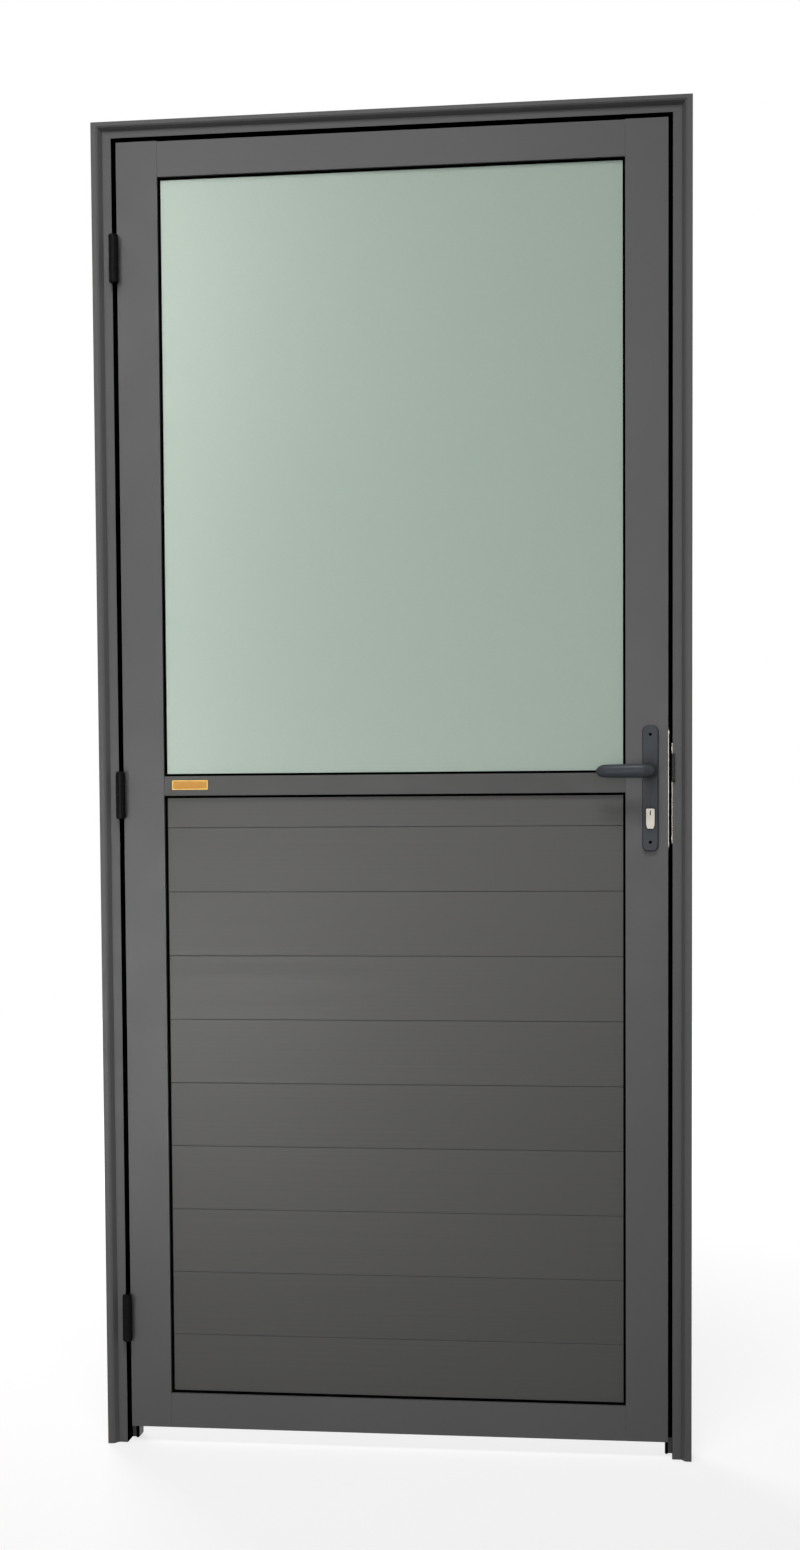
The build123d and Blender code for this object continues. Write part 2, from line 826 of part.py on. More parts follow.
with BuildPart() as latch_guide:
    with BuildSketch(Plane.XY.offset(guide_middle - guide_height / 2)):
        with BuildLine():
            Polyline(
                (strike_face, trim_face),
                (strike_face + guide_reach, trim_face),
                (strike_face + guide_reach, trim_face - guide_rise),
                (strike_face - strike_thickness, trim_face - guide_rise),
                (strike_face - strike_thickness, trim_face + guide_depth),
                (strike_face, trim_face + guide_depth),
                close=True,
            )
        make_face()
    extrude(amount=guide_height)
    fillet(latch_guide.faces().sort_by(Axis.Y)[0].edges().filter_by(Axis.X), guide_rounding)
write(latch_guide, "latch_guide")


# Handles: rounded plates, levers on a square spindle

def handle_plate():
    """Front plate with its collar, screw holes and the ways for lever and cylinder."""
    with BuildPart() as plate:
        with BuildSketch(leaf_front_plane):
            with Locations((handle_x, plate_middle)):
                RectangleRounded(plate_width, plate_height, plate_corner)
        extrude(amount=plate_thickness)
        fillet(plate.faces().sort_by(Axis.Y)[0].edges(), plate_rounding)
        with BuildSketch(leaf_front_plane.offset(plate_thickness)):
            with Locations((handle_x, lever_height)):
                Circle(collar_diameter / 2)
        extrude(amount=collar_height)
        fillet(plate.faces().sort_by(Axis.Y)[0].edges(), collar_height / 2)
        with BuildSketch(leaf_front_plane):
            with Locations((handle_x, lever_height)):
                Circle(neck_diameter / 2 + neck_play)
            with Locations((handle_x, cylinder_middle)):
                add(cylinder_outline(cylinder_play))
            with Locations((handle_x, plate_middle)):
                with GridLocations(0, plate_height - 2 * plate_screw_inset, 1, 2):
                    Circle(plate_screw_diameter / 2)
        extrude(amount=plate_thickness + collar_height, mode=Mode.SUBTRACT)
    return plate.part


with BuildPart() as handle_plate_front:
    add(handle_plate())
write(handle_plate_front, "handle_plate_front")

with BuildPart() as handle_plate_back:
    mirror(handle_plate_front.part, about=leaf_middle_plane)
write(handle_plate_back, "handle_plate_back")


def across(path, share):
    """Plane across the lever's path, with its x direction upright."""
    return Plane(origin=path @ share, x_dir=(0, 0, 1), z_dir=path % share)


grip_y = leaf_front - lever_stand_off
bend_start = (handle_x, grip_y + lever_bend, lever_height)
bend_end = (handle_x - lever_bend, grip_y, lever_height)
grip_end = (handle_x - lever_reach + tip_length, grip_y + grip_sweep_back, lever_height)

with BuildPart() as lever_tip:
    Sphere(tip_length)
    scale(by=(grip_height / 2 / tip_length, grip_depth / 2 / tip_length, 1))
    split(bisect_by=Plane.XY)

with BuildPart() as lever_front:
    with BuildSketch(leaf_front_plane):
        with Locations((handle_x, lever_height)):
            Circle(neck_diameter / 2)
    extrude(amount=lever_stand_off - lever_bend)
    with BuildLine() as bend_path:
        TangentArc(bend_start, bend_end, tangent=(0, -1, 0))
    bend = bend_path.wire()
    with BuildSketch(across(bend, 0)):
        Circle(neck_diameter / 2)
    with BuildSketch(across(bend, 1)):
        Ellipse(grip_root_height / 2, grip_depth / 2)
    sweep(path=bend, multisection=True)
    with BuildLine() as grip_path:
        TangentArc(bend_end, grip_end, tangent=(-1, 0, 0))
    grip = grip_path.wire()
    with BuildSketch(across(grip, 0)):
        Ellipse(grip_root_height / 2, grip_depth / 2)
    with BuildSketch(across(grip, 1)):
        Ellipse(grip_height / 2, grip_depth / 2)
    sweep(path=grip, multisection=True)
    add(lever_tip.part.moved(across(grip, 1).location))
    with BuildSketch(leaf_front_plane):
        with Locations((handle_x, lever_height)):
            Rectangle(spindle_size + 2 * spindle_play, spindle_size + 2 * spindle_play)
    extrude(amount=spindle_bite, mode=Mode.SUBTRACT)
write(lever_front, "lever_front")

with BuildPart() as lever_back:
    mirror(lever_front.part, about=leaf_middle_plane)
write(lever_back, "lever_back")

with BuildPart() as spindle:
    with BuildSketch(leaf_front_plane.offset(spindle_bite)):
        with Locations((handle_x, lever_height)):
            Rectangle(spindle_size, spindle_size)
    extrude(amount=-(leaf_thickness + 2 * spindle_bite))
write(spindle, "spindle")
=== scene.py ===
# %% [markdown]
# A half-glazed aluminium door in its frame, ready to hang in a wall. The frame and the leaf are
# hollow extrusions with a graphite powder coat. The upper half of the leaf holds frosted glass
# and the lower half horizontal planks. A lever handle works the lock, and three black hinges
# carry the leaf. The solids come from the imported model, and this script gives them their
# finishes, adds the small fittings and sets up the camera and the light.

import json
import math

import bmesh
import bpy
from mathutils import Matrix, Vector


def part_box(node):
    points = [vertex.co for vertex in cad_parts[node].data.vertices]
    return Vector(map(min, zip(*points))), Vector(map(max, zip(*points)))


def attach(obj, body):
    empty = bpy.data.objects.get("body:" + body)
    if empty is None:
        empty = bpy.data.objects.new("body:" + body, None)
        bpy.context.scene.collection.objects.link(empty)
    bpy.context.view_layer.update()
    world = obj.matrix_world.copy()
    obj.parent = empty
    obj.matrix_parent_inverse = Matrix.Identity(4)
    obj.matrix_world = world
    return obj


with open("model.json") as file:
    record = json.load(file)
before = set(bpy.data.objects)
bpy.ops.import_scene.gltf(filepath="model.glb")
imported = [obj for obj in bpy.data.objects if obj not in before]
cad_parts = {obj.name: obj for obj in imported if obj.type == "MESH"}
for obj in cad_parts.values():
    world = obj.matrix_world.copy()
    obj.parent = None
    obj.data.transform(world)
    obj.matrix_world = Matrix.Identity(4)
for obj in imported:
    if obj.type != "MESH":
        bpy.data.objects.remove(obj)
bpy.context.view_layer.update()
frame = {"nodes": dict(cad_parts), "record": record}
solids = frame["nodes"]

# %% [markdown]
# The camera stands in front of the lock side, a metre above the floor and about three and a half
# metres away, and looks slightly left and down. It could be placed by eye, but then every size
# would be a little off, so its place was worked out from the corners of the frame, the glass and
# the planks, whose real sizes are known. An unturned camera looks straight down, so it is raised
# by a quarter turn, less its tilt. The picture is taken off the lens axis, so the camera has a
# small shift, as a view camera has.

# %%  Camera
MM = 0.001
QUARTER = math.pi / 2
PICTURE_WIDTH = 800
PICTURE_HEIGHT = 1550
SENSOR = 36.0
FOCAL_PIXELS = 2281.13
AXIS_PIXEL = Vector((362.30, 925.09))  # where the lens axis meets the picture
TURNED_LEFT = math.radians(7.79265)
TILTED_DOWN = math.radians(3.25159)
ROLLED_CLOCKWISE = math.radians(0.41325)  # as seen from behind the camera

camera_place = Matrix.Translation(Vector((893.03, -3619.56, 1052.15)) * MM)
camera_turn = Matrix.Rotation(TURNED_LEFT, 4, "Z")
camera_rise = Matrix.Rotation(QUARTER - TILTED_DOWN, 4, "X")
camera_roll = Matrix.Rotation(-ROLLED_CLOCKWISE, 4, "Z")

lens = bpy.data.cameras.new("camera")
lens.sensor_width = SENSOR
lens.lens = FOCAL_PIXELS * SENSOR / PICTURE_HEIGHT
lens.shift_x = (PICTURE_WIDTH / 2 - AXIS_PIXEL.x) / PICTURE_HEIGHT
lens.shift_y = (AXIS_PIXEL.y - PICTURE_HEIGHT / 2) / PICTURE_HEIGHT
camera = bpy.data.objects.new("camera", lens)
camera.matrix_world = camera_place @ camera_turn @ camera_rise @ camera_roll
bpy.context.scene.collection.objects.link(camera)
bpy.context.scene.camera = camera
print("lens", round(lens.lens, 2), "mm, shift", round(lens.shift_x, 4), round(lens.shift_y, 4))

# %% [markdown]
# A finish in Blender is a tree of nodes. Trees could be written out node by node, but that hides
# what they do. These helpers each add one step, so that a finish reads as a short list: where the
# pattern lies, how it varies, and which input of the shader it drives.

# %%  Helpers for node trees
NOISE_LOW = 0.3  # nearly all of a noise lies between these two
NOISE_HIGH = 0.7


def fill(tree, node, inputs):
    """Link each input that is given a socket, and set each one that is given a value."""
    for name, value in inputs.items():
        if isinstance(value, bpy.types.NodeSocket):
            tree.links.new(value, node.inputs[name])
        else:
            node.inputs[name].default_value = value


def add_node(tree, kind, inputs=None, **properties):
    """Make a node, set its properties and fill its inputs."""
    made = tree.nodes.new(kind)
    for name, value in properties.items():
        setattr(made, name, value)
    fill(tree, made, inputs or {})
    return made


def worked_out(tree, operation, *values):
    """The result of a Math node."""
    return add_node(
        tree, "ShaderNodeMath", dict(enumerate(values)), operation=operation
    ).outputs[0]


def map_range(tree, value, low, high, start=0.0, end=1.0, clamp=True):
    """Turn a value that runs from start to end into one that runs from low to high."""
    inputs = {"Value": value, "From Min": start, "From Max": end, "To Min": low, "To Max": high}
    return add_node(tree, "ShaderNodeMapRange", inputs, clamp=clamp).outputs["Result"]


print("helpers for node trees:", fill.__name__, add_node.__name__, map_range.__name__)

# %%  Helpers for finishes
BRIGHTEST = 255
STRAIGHT_PART = 0.04045  # a screen's curve is straight up to here, and a power above it
STRAIGHT_SLOPE = 12.92
CURVE_OFFSET = 0.055
CURVE_POWER = 2.4


def screen_colour(red, green, blue):
    """Linear colour of a swatch that is given as it looks on a screen, from 0 to 255."""
    parts = []
    for part in (red, green, blue):
        share = part / BRIGHTEST
        if share <= STRAIGHT_PART:
            parts.append(share / STRAIGHT_SLOPE)
        else:
            parts.append(((share + CURVE_OFFSET) / (1 + CURVE_OFFSET)) ** CURVE_POWER)
    return (*parts, 1.0)


def new_finish(name):
    """A material, its tree and its shader."""
    material = bpy.data.materials.new(name)
    material.use_nodes = True
    tree = material.node_tree
    return material, tree, tree.nodes["Principled BSDF"]


def place_in_object(tree, scale=(1, 1, 1)):
    """Object coordinates, stretched by a scale for each axis."""
    here = add_node(tree, "ShaderNodeTexCoord").outputs["Object"]
    return add_node(tree, "ShaderNodeMapping", {"Vector": here, "Scale": scale}).outputs["Vector"]


def noise(tree, vector, scale, detail):
    """Soft noise between 0 and 1; its scale counts the waves in a metre of its vector."""
    inputs = {"Vector": vector, "Scale": scale, "Detail": detail}
    return add_node(tree, "ShaderNodeTexNoise", inputs).outputs["Fac"]


def between(tree, value, low, high):
    """Spread the middle of a noise over a range."""
    return map_range(tree, value, low, high, NOISE_LOW, NOISE_HIGH)


def shaded(tree, colour, value):
    """A colour whose brightness follows a value around 1."""
    inputs = {"Color": colour, "Value": value}
    return add_node(tree, "ShaderNodeHueSaturation", inputs).outputs["Color"]


def relief(tree, height, strength, depth):
    """A surface direction that follows small heights; the depth is in metres."""
    inputs = {"Height": height, "Strength": strength, "Distance": depth}
    return add_node(tree, "ShaderNodeBump", inputs).outputs["Normal"]


print("a screen grey of 128 is", round(screen_colour(128, 128, 128)[0], 3), "as light")

# %% [markdown]
# Powder coat is a baked plastic skin on the aluminium. It has a satin gloss, a faint orange peel
# of a millimetre or two, and slow changes of tone along a bar. A picture of a coat would stretch
# on the long bars, so a noise makes each of the three, and all of them read Object coordinates:
# they stay on the piece as it moves. Inner corners get painted shade: an Ambient Occlusion node
# finds them and darkens the colour there. The handles are the one coat that also counts other
# pieces as corners, so the plate behind the lever gets a painted shadow of the lever.

# %%  Powder coat
TONE_WAVES = 2.2
COAT_TONES = (0.955, 1.045)
GLOSS_WAVES = 24
PEEL_WAVES = 650.0
PEEL_STRENGTH = 0.35
PEEL_DEPTH = 0.12 * MM
CORNER_SAMPLES = 6
COAT_SPECULAR = 0.2


def powder_coat(name, colour, gloss, corner_reach, corner_start, corner_tone, own=True):
    """Satin coat with painted shade in its corners. Within the corner's reach, a point that sees
    less than corner_start of its surroundings has only corner_tone of its brightness; own counts
    the piece's own faces only.
    """
    material, tree, shader = new_finish(name)
    place = place_in_object(tree)
    tone = between(tree, noise(tree, place, TONE_WAVES, detail=3), *COAT_TONES)
    openness = add_node(
        tree,
        "ShaderNodeAmbientOcclusion",
        {"Distance": corner_reach},
        samples=CORNER_SAMPLES,
        only_local=own,
    ).outputs["AO"]
    # Painted shade: the colour darkens in corners, and on the handle plate under the lever.
    painted_shade_tone = map_range(tree, openness, corner_tone, tone, corner_start)
    peel = noise(tree, place, PEEL_WAVES, detail=2)
    inputs = {
        "Base Color": shaded(tree, screen_colour(*colour), painted_shade_tone),
        "Roughness": between(tree, noise(tree, place, GLOSS_WAVES, detail=3), *gloss),
        "Normal": relief(tree, peel, PEEL_STRENGTH, PEEL_DEPTH),
        "Specular IOR Level": COAT_SPECULAR,
    }
    fill(tree, shader, inputs)
    return material


frame_coat = dict(gloss=(0.40, 0.50), corner_reach=7 * MM, corner_start=0.4, corner_tone=0.6)
leaf_coat = dict(gloss=(0.36, 0.46), corner_reach=6 * MM, corner_start=0.4, corner_tone=0.8)
# The handles' painted shade reaches 30 mm, far enough to paint the lever's shadow on its plate.
handle_coat = dict(gloss=(0.34, 0.44), corner_reach=30 * MM, corner_start=0.6, corner_tone=0.02)
graphite_frame = powder_coat("graphite_frame", (91, 91, 91), **frame_coat)
graphite_leaf = powder_coat("graphite_leaf", (94, 94, 94), **leaf_coat)
graphite_rail = powder_coat("graphite_rail", (79, 79, 78), **leaf_coat)
handle_grey = powder_coat("handle_grey", (55, 59, 65), **handle_coat, own=False)
print("powder coats:", graphite_frame.name, graphite_leaf.name, handle_grey.name)

# %% [markdown]
# The planks are thinner extrusions with the same coat. The die leaves fine lines along them, and
# each plank comes from another length, so its tone differs a little from its neighbours'. Ten
# finishes could do that, but one is enough: the lines are a noise that is stretched along X, and
# the tone is a random number that the plank's height picks. On the back the planks meet without
# a bevel, so a fine dark line marks each joint there.

# %%  Plank coat
plank_low, plank_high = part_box("plank_02")
plank_middle = (plank_low.y + plank_high.y) / 2
plank_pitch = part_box("plank_03")[0].z - plank_low.z
LINES_ALONG = 1.5
LINES_ACROSS = 420.0
LINE_TONES = (0.96, 1.04)
LINE_STRENGTH = 0.3
PLANK_TONES = (0.97, 1.03)
PLANK_GLOSS = (0.34, 0.46)
JOINT_LINE = 0.8 * MM  # from the middle of a joint to where its dark line ends
JOINT_TONE = 0.2


def plank_tone(tree, place, along):
    """Brightness of the planks: fine lines, a step from plank to plank, and joints behind."""
    parts = add_node(tree, "ShaderNodeSeparateXYZ", {"Vector": place}).outputs
    count = map_range(
        tree, parts["Z"], 1, 2, plank_low.z, plank_low.z + plank_pitch, clamp=False
    )
    number = worked_out(tree, "FLOOR", count)
    own = add_node(tree, "ShaderNodeTexWhiteNoise", {"W": number}, noise_dimensions="1D")
    own_tone = map_range(tree, own.outputs["Value"], *PLANK_TONES)
    to_joint = worked_out(tree, "PINGPONG", count, 0.5)
    joint_tone = map_range(tree, to_joint, JOINT_TONE, 1.0, end=JOINT_LINE / plank_pitch)
    behind = worked_out(tree, "GREATER_THAN", parts["Y"], plank_middle)
    back_tone = map_range(tree, behind, 1.0, joint_tone)
    tone = between(tree, noise(tree, along, 1.0, detail=4), *LINE_TONES)
    for other in (own_tone, back_tone):
        tone = worked_out(tree, "MULTIPLY", tone, other)
    return tone


def plank_coat(name, colour):
    """Coat with the fine lines of an extrusion."""
    material, tree, shader = new_finish(name)
    place = place_in_object(tree)
    along = place_in_object(tree, (LINES_ALONG, LINES_ALONG, LINES_ACROSS))
    tone = plank_tone(tree, place, along)
    inputs = {
        "Base Color": shaded(tree, screen_colour(*colour), tone),
        "Roughness": between(tree, noise(tree, along, 1.0, detail=2), *PLANK_GLOSS),
        "Normal": relief(tree, noise(tree, along, 1.0, detail=3), LINE_STRENGTH, PEEL_DEPTH),
        "Specular IOR Level": COAT_SPECULAR,
    }
    fill(tree, shader, inputs)
    return material


graphite_plank = plank_coat("graphite_plank", (85, 84, 83))
print("plank pitch", round(plank_pitch, 4), "m")

# %% [markdown]
# Sandblasted glass scatters light in its skin: it looks pale green and milky, glows where light
# falls on it, and shows only a blur of what is behind. Clear glass with a tint wouldn't glow, and
# a plain pale panel would let no light through. A rough surface that passes part of the light
# does both, and a fine grain breaks up its gloss.

# %%  Frosted glass
GRAIN_WAVES = 520
GLASS_TONES = (0.975, 1.025)
GLASS_ROUGH = (0.38, 0.46)
GLASS_CLEAR = 0.42  # share of the light that goes through
GLASS_IOR = 1.5
BLAST_STRENGTH = 0.25
BLAST_DEPTH = 0.1 * MM


def frosted(name, colour):
    """Rough glass that lets part of the light through."""
    material, tree, shader = new_finish(name)
    grain = noise(tree, place_in_object(tree), GRAIN_WAVES, detail=2)
    tone = between(tree, grain, *GLASS_TONES)
    inputs = {
        "Base Color": shaded(tree, screen_colour(*colour), tone),
        "Roughness": between(tree, grain, *GLASS_ROUGH),
        "Normal": relief(tree, grain, BLAST_STRENGTH, BLAST_DEPTH),
        "Transmission Weight": GLASS_CLEAR,
        "IOR": GLASS_IOR,
    }
    fill(tree, shader, inputs)
    return material


frosted_glass = frosted("frosted_glass", (167, 184, 172))
print("glass:", frosted_glass.name)

# %% [markdown]
# The small metal parts are turned, stamped or cast, with a satin plate on them. The black parts
# are rubber and plastic, and the hinges are steel with a black coat. Each could have a tree of
# its own, but they differ only in colour, gloss and grain, so one function makes them all.

# %%  Plated metal, rubber and plastic
GRAIN_STRENGTH = 0.3
GLOSS_SPREAD = 0.15
TONE_PATCH = 8  # grains across a patch of one tone
GLOSS_PATCH = 4  # grains across a patch of one gloss


def fine_finish(name, colour, rough, spread, grain, depth, metallic=0.0, specular=0.5):
    """Fine finish with so many grains in a metre; its tone varies by the spread, both ways."""
    material, tree, shader = new_finish(name)
    place = place_in_object(tree)
    tone = between(tree, noise(tree, place, grain / TONE_PATCH, detail=3), 1 - spread, 1 + spread)
    gloss = noise(tree, place, grain / GLOSS_PATCH, detail=2)
    inputs = {
        "Base Color": shaded(tree, screen_colour(*colour), tone),
        "Roughness": between(tree, gloss, rough * (1 - GLOSS_SPREAD), rough * (1 + GLOSS_SPREAD)),
        "Normal": relief(tree, noise(tree, place, grain, detail=2), GRAIN_STRENGTH, depth),
        "Metallic": metallic,
        "Specular IOR Level": specular,
    }
    fill(tree, shader, inputs)
    return material


def metal(name, colour, rough, spread, grain, depth):
    """The same finish on bare or plated metal."""
    return fine_finish(name, colour, rough, spread, grain, depth, metallic=1.0)


satin = dict(grain=900, depth=0.03 * MM)
nickel = metal("nickel", (168, 163, 154), rough=0.34, spread=0.04, **satin)
dull_nickel = metal("dull_nickel", (148, 144, 136), rough=0.42, spread=0.06, **satin)
brass_field = metal("brass_field", (136, 100, 52), rough=0.45, spread=0.05, **satin)
brass = metal("brass", (154, 126, 70), rough=0.32, spread=0.02, grain=500, depth=0.01 * MM)
bright_steel = metal(
    "bright_steel", (180, 180, 182), rough=0.35, spread=0.06, grain=500, depth=0.04 * MM
)
black_hinge = fine_finish(
    "black_hinge", (9, 9, 9), rough=0.36, spread=0.08, grain=800, depth=0.04 * MM, specular=0.07
)
black_seal = fine_finish(
    "black_seal", (4, 4, 4), rough=0.62, spread=0.1, grain=900, depth=0.05 * MM, specular=0.0
)
black_plastic = fine_finish(
    "black_plastic", (15, 14, 14), rough=0.4, spread=0.08, grain=900, depth=0.04 * MM, specular=0.2
)
print("fine finishes:", nickel.name, bright_steel.name, brass.name, black_hinge.name)

# %% [markdown]
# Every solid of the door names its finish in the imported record. Setting them one by one would
# miss a solid sooner or later, so a loop reads those names. The middle rail is a narrower bar
# that came out of the coating a little darker, and the cylinder is duller than the rest of the
# lock, so these two get a finish of their own.

# %%  Give every solid its finish
finishes = {
    "graphite_frame": graphite_frame,
    "graphite_leaf": graphite_leaf,
    "graphite_plank": graphite_plank,
    "handle_grey": handle_grey,
    "frosted_glass": frosted_glass,
    "nickel": nickel,
    "bright_steel": bright_steel,
    "black_hinge": black_hinge,
    "black_seal": black_seal,
    "black_plastic": black_plastic,
}
for part in frame["record"]["subparts"]:
    mesh = solids[part["node"]].data
    mesh.materials.clear()
    mesh.materials.append(finishes[part["material_slot"]])
solids["rail_middle"].data.materials[0] = graphite_rail
solids["lock_cylinder"].data.materials[0] = dull_nickel

# %% [markdown]
# The screws have flat heads with a cross recess. They come in rows: three in each half of a
# hinge, and two in each plate of the lock and the handles. They could be modelled one by one, but
# one tree of Geometry Nodes makes any row: it cuts the cross out of a short cylinder, sets copies
# on a line of points, and gives them their finish. Its inputs say how many there are, how far
# apart and how large.

# %%  Geometry Nodes for a screw head
HEAD_SIDES = 28
CROSS_SPAN = 1.25  # length of the cross, in radii of the head
CROSS_LIFT = 0.45  # from the head's middle to the cutter's, in heights of the head


def cross_cutter(tree, given):
    """Two crossed bars, lifted so that they cut only the top of the head."""
    span = worked_out(tree, "MULTIPLY", given["Radius"], CROSS_SPAN)
    width = given["Recess Width"]
    bars = []
    for long, deep in ((span, width), (width, span)):
        size = add_node(
            tree, "ShaderNodeCombineXYZ", {"X": long, "Y": deep, "Z": given["Height"]}
        )
        bars.append(add_node(tree, "GeometryNodeMeshCube", {"Size": size.outputs["Vector"]}))
    lift = worked_out(tree, "MULTIPLY", given["Height"], CROSS_LIFT)
    lifted = add_node(tree, "ShaderNodeCombineXYZ", {"Z": lift})
    cross = add_node(tree, "GeometryNodeMeshBoolean", operation="UNION")
    for bar in bars:
        tree.links.new(bar.outputs["Mesh"], cross.inputs["Mesh 2"])
    inputs = {"Geometry": cross.outputs["Mesh"], "Translation": lifted.outputs["Vector"]}
    return add_node(tree, "GeometryNodeTransform", inputs).outputs["Geometry"]


def screw_head(tree, given):
    """A short cylinder with the cross cut out of it."""
    inputs = {"Vertices": HEAD_SIDES, "Radius": given["Radius"], "Depth": given["Height"]}
    head = add_node(tree, "GeometryNodeMeshCylinder", inputs)
    inputs = {"Mesh 1": head.outputs["Mesh"], "Mesh 2": cross_cutter(tree, given)}
    cut = add_node(tree, "GeometryNodeMeshBoolean", inputs, operation="DIFFERENCE")
    return cut.outputs["Mesh"]


print("screw head:", HEAD_SIDES, "sides")

# %%  Geometry Nodes tree for a row of screws


def screw_row_tree():
    """A tree that sets screw heads on a line and gives them a finish."""
    tree = bpy.data.node_groups.new("screw_row", "GeometryNodeTree")
    for name, kind in (
        ("First", "Vector"),
        ("Step", "Vector"),
        ("Turn", "Vector"),
        ("Count", "Int"),
        ("Radius", "Float"),
        ("Height", "Float"),
        ("Recess Width", "Float"),
        ("Finish", "Material"),
    ):
        tree.interface.new_socket(name, in_out="INPUT", socket_type="NodeSocket" + kind)
    tree.interface.new_socket("Geometry", in_out="OUTPUT", socket_type="NodeSocketGeometry")
    given = add_node(tree, "NodeGroupInput").outputs
    inputs = {"Count": given["Count"], "Start Location": given["First"], "Offset": given["Step"]}
    line = add_node(tree, "GeometryNodeMeshLine", inputs).outputs["Mesh"]
    inputs = {"Points": line, "Instance": screw_head(tree, given), "Rotation": given["Turn"]}
    copies = add_node(tree, "GeometryNodeInstanceOnPoints", inputs).outputs["Instances"]
    real = add_node(tree, "GeometryNodeRealizeInstances", {"Geometry": copies})
    inputs = {"Geometry": real.outputs["Geometry"], "Material": given["Finish"]}
    finished = add_node(tree, "GeometryNodeSetMaterial", inputs)
    add_node(tree, "NodeGroupOutput", {"Geometry": finished.outputs["Geometry"]})
    return tree


screw_tree = screw_row_tree()
print("screw tree:", len(screw_tree.nodes), "nodes")

# %% [markdown]
# A row that stays a modifier would be lost when the door is exported, so each row is worked out
# once and kept as a plain mesh. The rows of one body could be separate pieces, but they never
# move apart, so they are joined into one piece that rides on the body.

# %%  Helpers that turn rows into pieces
RECESS_SHARE = 0.34  # width of the cross's bars, in radii of the head


def row_mesh(screw, count, first, pitch, turn):
    """An upright row of one kind of screw, as a plain mesh in the door's own coordinates."""
    holder = bpy.data.objects.new("row", bpy.data.meshes.new("row"))
    bpy.context.scene.collection.objects.link(holder)
    modifier = holder.modifiers.new("row", "NODES")
    modifier.node_group = screw_tree
    values = {
        **screw,
        "Recess Width": screw["Radius"] * RECESS_SHARE,
        "Count": count,
        "First": first,
        "Step": (0, 0, pitch),
        "Turn": turn,
    }
    for socket in screw_tree.interface.items_tree:
        if socket.in_out == "INPUT":
            modifier[socket.identifier] = values[socket.name]
    graph = bpy.context.evaluated_depsgraph_get()
    mesh = bpy.data.meshes.new_from_object(holder.evaluated_get(graph))
    bpy.data.objects.remove(holder)
    return mesh


def piece_from_meshes(name, meshes, body, slot):
    """Join meshes into one piece at the origin, which rides on a body."""
    joined = bmesh.new()
    used = []
    for mesh in meshes:
        start = len(joined.faces)
        joined.from_mesh(mesh)
        joined.faces.ensure_lookup_table()
        for face in joined.faces[start:]:
            finish = mesh.materials[face.material_index]
            if finish not in used:
                used.append(finish)
            face.material_index = used.index(finish)
    whole = bpy.data.meshes.new(name)
    joined.to_mesh(whole)
    joined.free()
    for finish in used:
        whole.materials.append(finish)
    piece = bpy.data.objects.new(name, whole)
    bpy.context.scene.collection.objects.link(piece)
    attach(piece, body)
    print(name, "faces:", len(whole.polygons))


print("rows are made by", row_mesh.__name__, "and joined by", piece_from_meshes.__name__)

# %% [markdown]
# Three screws hold each half of a hinge: one half to the jamb, the other to the edge of the
# stile. Their heads fill the countersunk holes of the solids, flush with the plate. Heights could
# be typed in, but here every row is placed from the boxes of the solids, so that it can't miss
# its holes. A kind of screw is written down once, by the names of the tree's inputs.

# %%  Screws of the hinges
FACE_RIGHT = (0, QUARTER, 0)
FACE_LEFT = (0, -QUARTER, 0)
HINGE_PLATE = 2.5 * MM
HINGE_SCREW = {"Radius": 3.9 * MM, "Height": 1.6 * MM, "Finish": black_hinge}
HINGE_SCREWS = 3
HINGE_SCREW_PITCH = 26 * MM
HINGE_SCREW_Y = -19.5 * MM  # middle of the plates, in the depth of the frame

frame_rows = []
leaf_rows = []
jamb_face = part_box("jamb_hinge_side")[1].x
stile_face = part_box("stile_hinge_side")[0].x
for height_name in ("bottom", "middle", "top"):
    half_low, half_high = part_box(f"hinge_{height_name}_leaf_half")
    lowest = (half_low.z + half_high.z) / 2 - HINGE_SCREW_PITCH
    for rows, face, turn, inwards in (
        (frame_rows, jamb_face + HINGE_PLATE, FACE_RIGHT, -1),
        (leaf_rows, stile_face - HINGE_PLATE, FACE_LEFT, 1),
    ):
        first = (face + inwards * HINGE_SCREW["Height"] / 2, HINGE_SCREW_Y, lowest)
        rows.append(row_mesh(HINGE_SCREW, HINGE_SCREWS, first, HINGE_SCREW_PITCH, turn))
print("hinge screws:", HINGE_SCREWS * (len(frame_rows) + len(leaf_rows)))

# %% [markdown]
# Each handle plate has a screw near its top and one near its foot. They could lie flush like the
# others, but these sit deep in round holes, and from outside they look nearly black. So they are
# sunk, their near-black finish is painted shade of the deep hole, and the hole's own shade does
# the rest.

# %%  Screws of the handle plates
FACE_FRONT = (QUARTER, 0, 0)
FACE_BACK = (-QUARTER, 0, 0)
PLATE_THICKNESS = 7 * MM
# The screws' near-black finish is painted shade of their deep holes.
PLATE_SCREW = {"Radius": 2.4 * MM, "Height": 1.5 * MM, "Finish": black_seal}
PLATE_SCREW_INSET = 14 * MM
PLATE_SCREW_SUNK = 3.4 * MM

plate_low, plate_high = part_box("handle_plate_front")
handle_x = (plate_low.x + plate_high.x) / 2
plate_pitch = plate_high.z - plate_low.z - 2 * PLATE_SCREW_INSET
front_face = plate_high.y - PLATE_THICKNESS
back_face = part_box("handle_plate_back")[0].y + PLATE_THICKNESS
for face, turn, inwards in ((front_face, FACE_FRONT, 1), (back_face, FACE_BACK, -1)):
    screw_y = face + inwards * (PLATE_SCREW_SUNK + PLATE_SCREW["Height"] / 2)
    first = (handle_x, screw_y, plate_low.z + PLATE_SCREW_INSET)
    leaf_rows.append(row_mesh(PLATE_SCREW, 2, first, plate_pitch, turn))
print("screws of a handle plate:", round(plate_pitch, 4), "m apart")

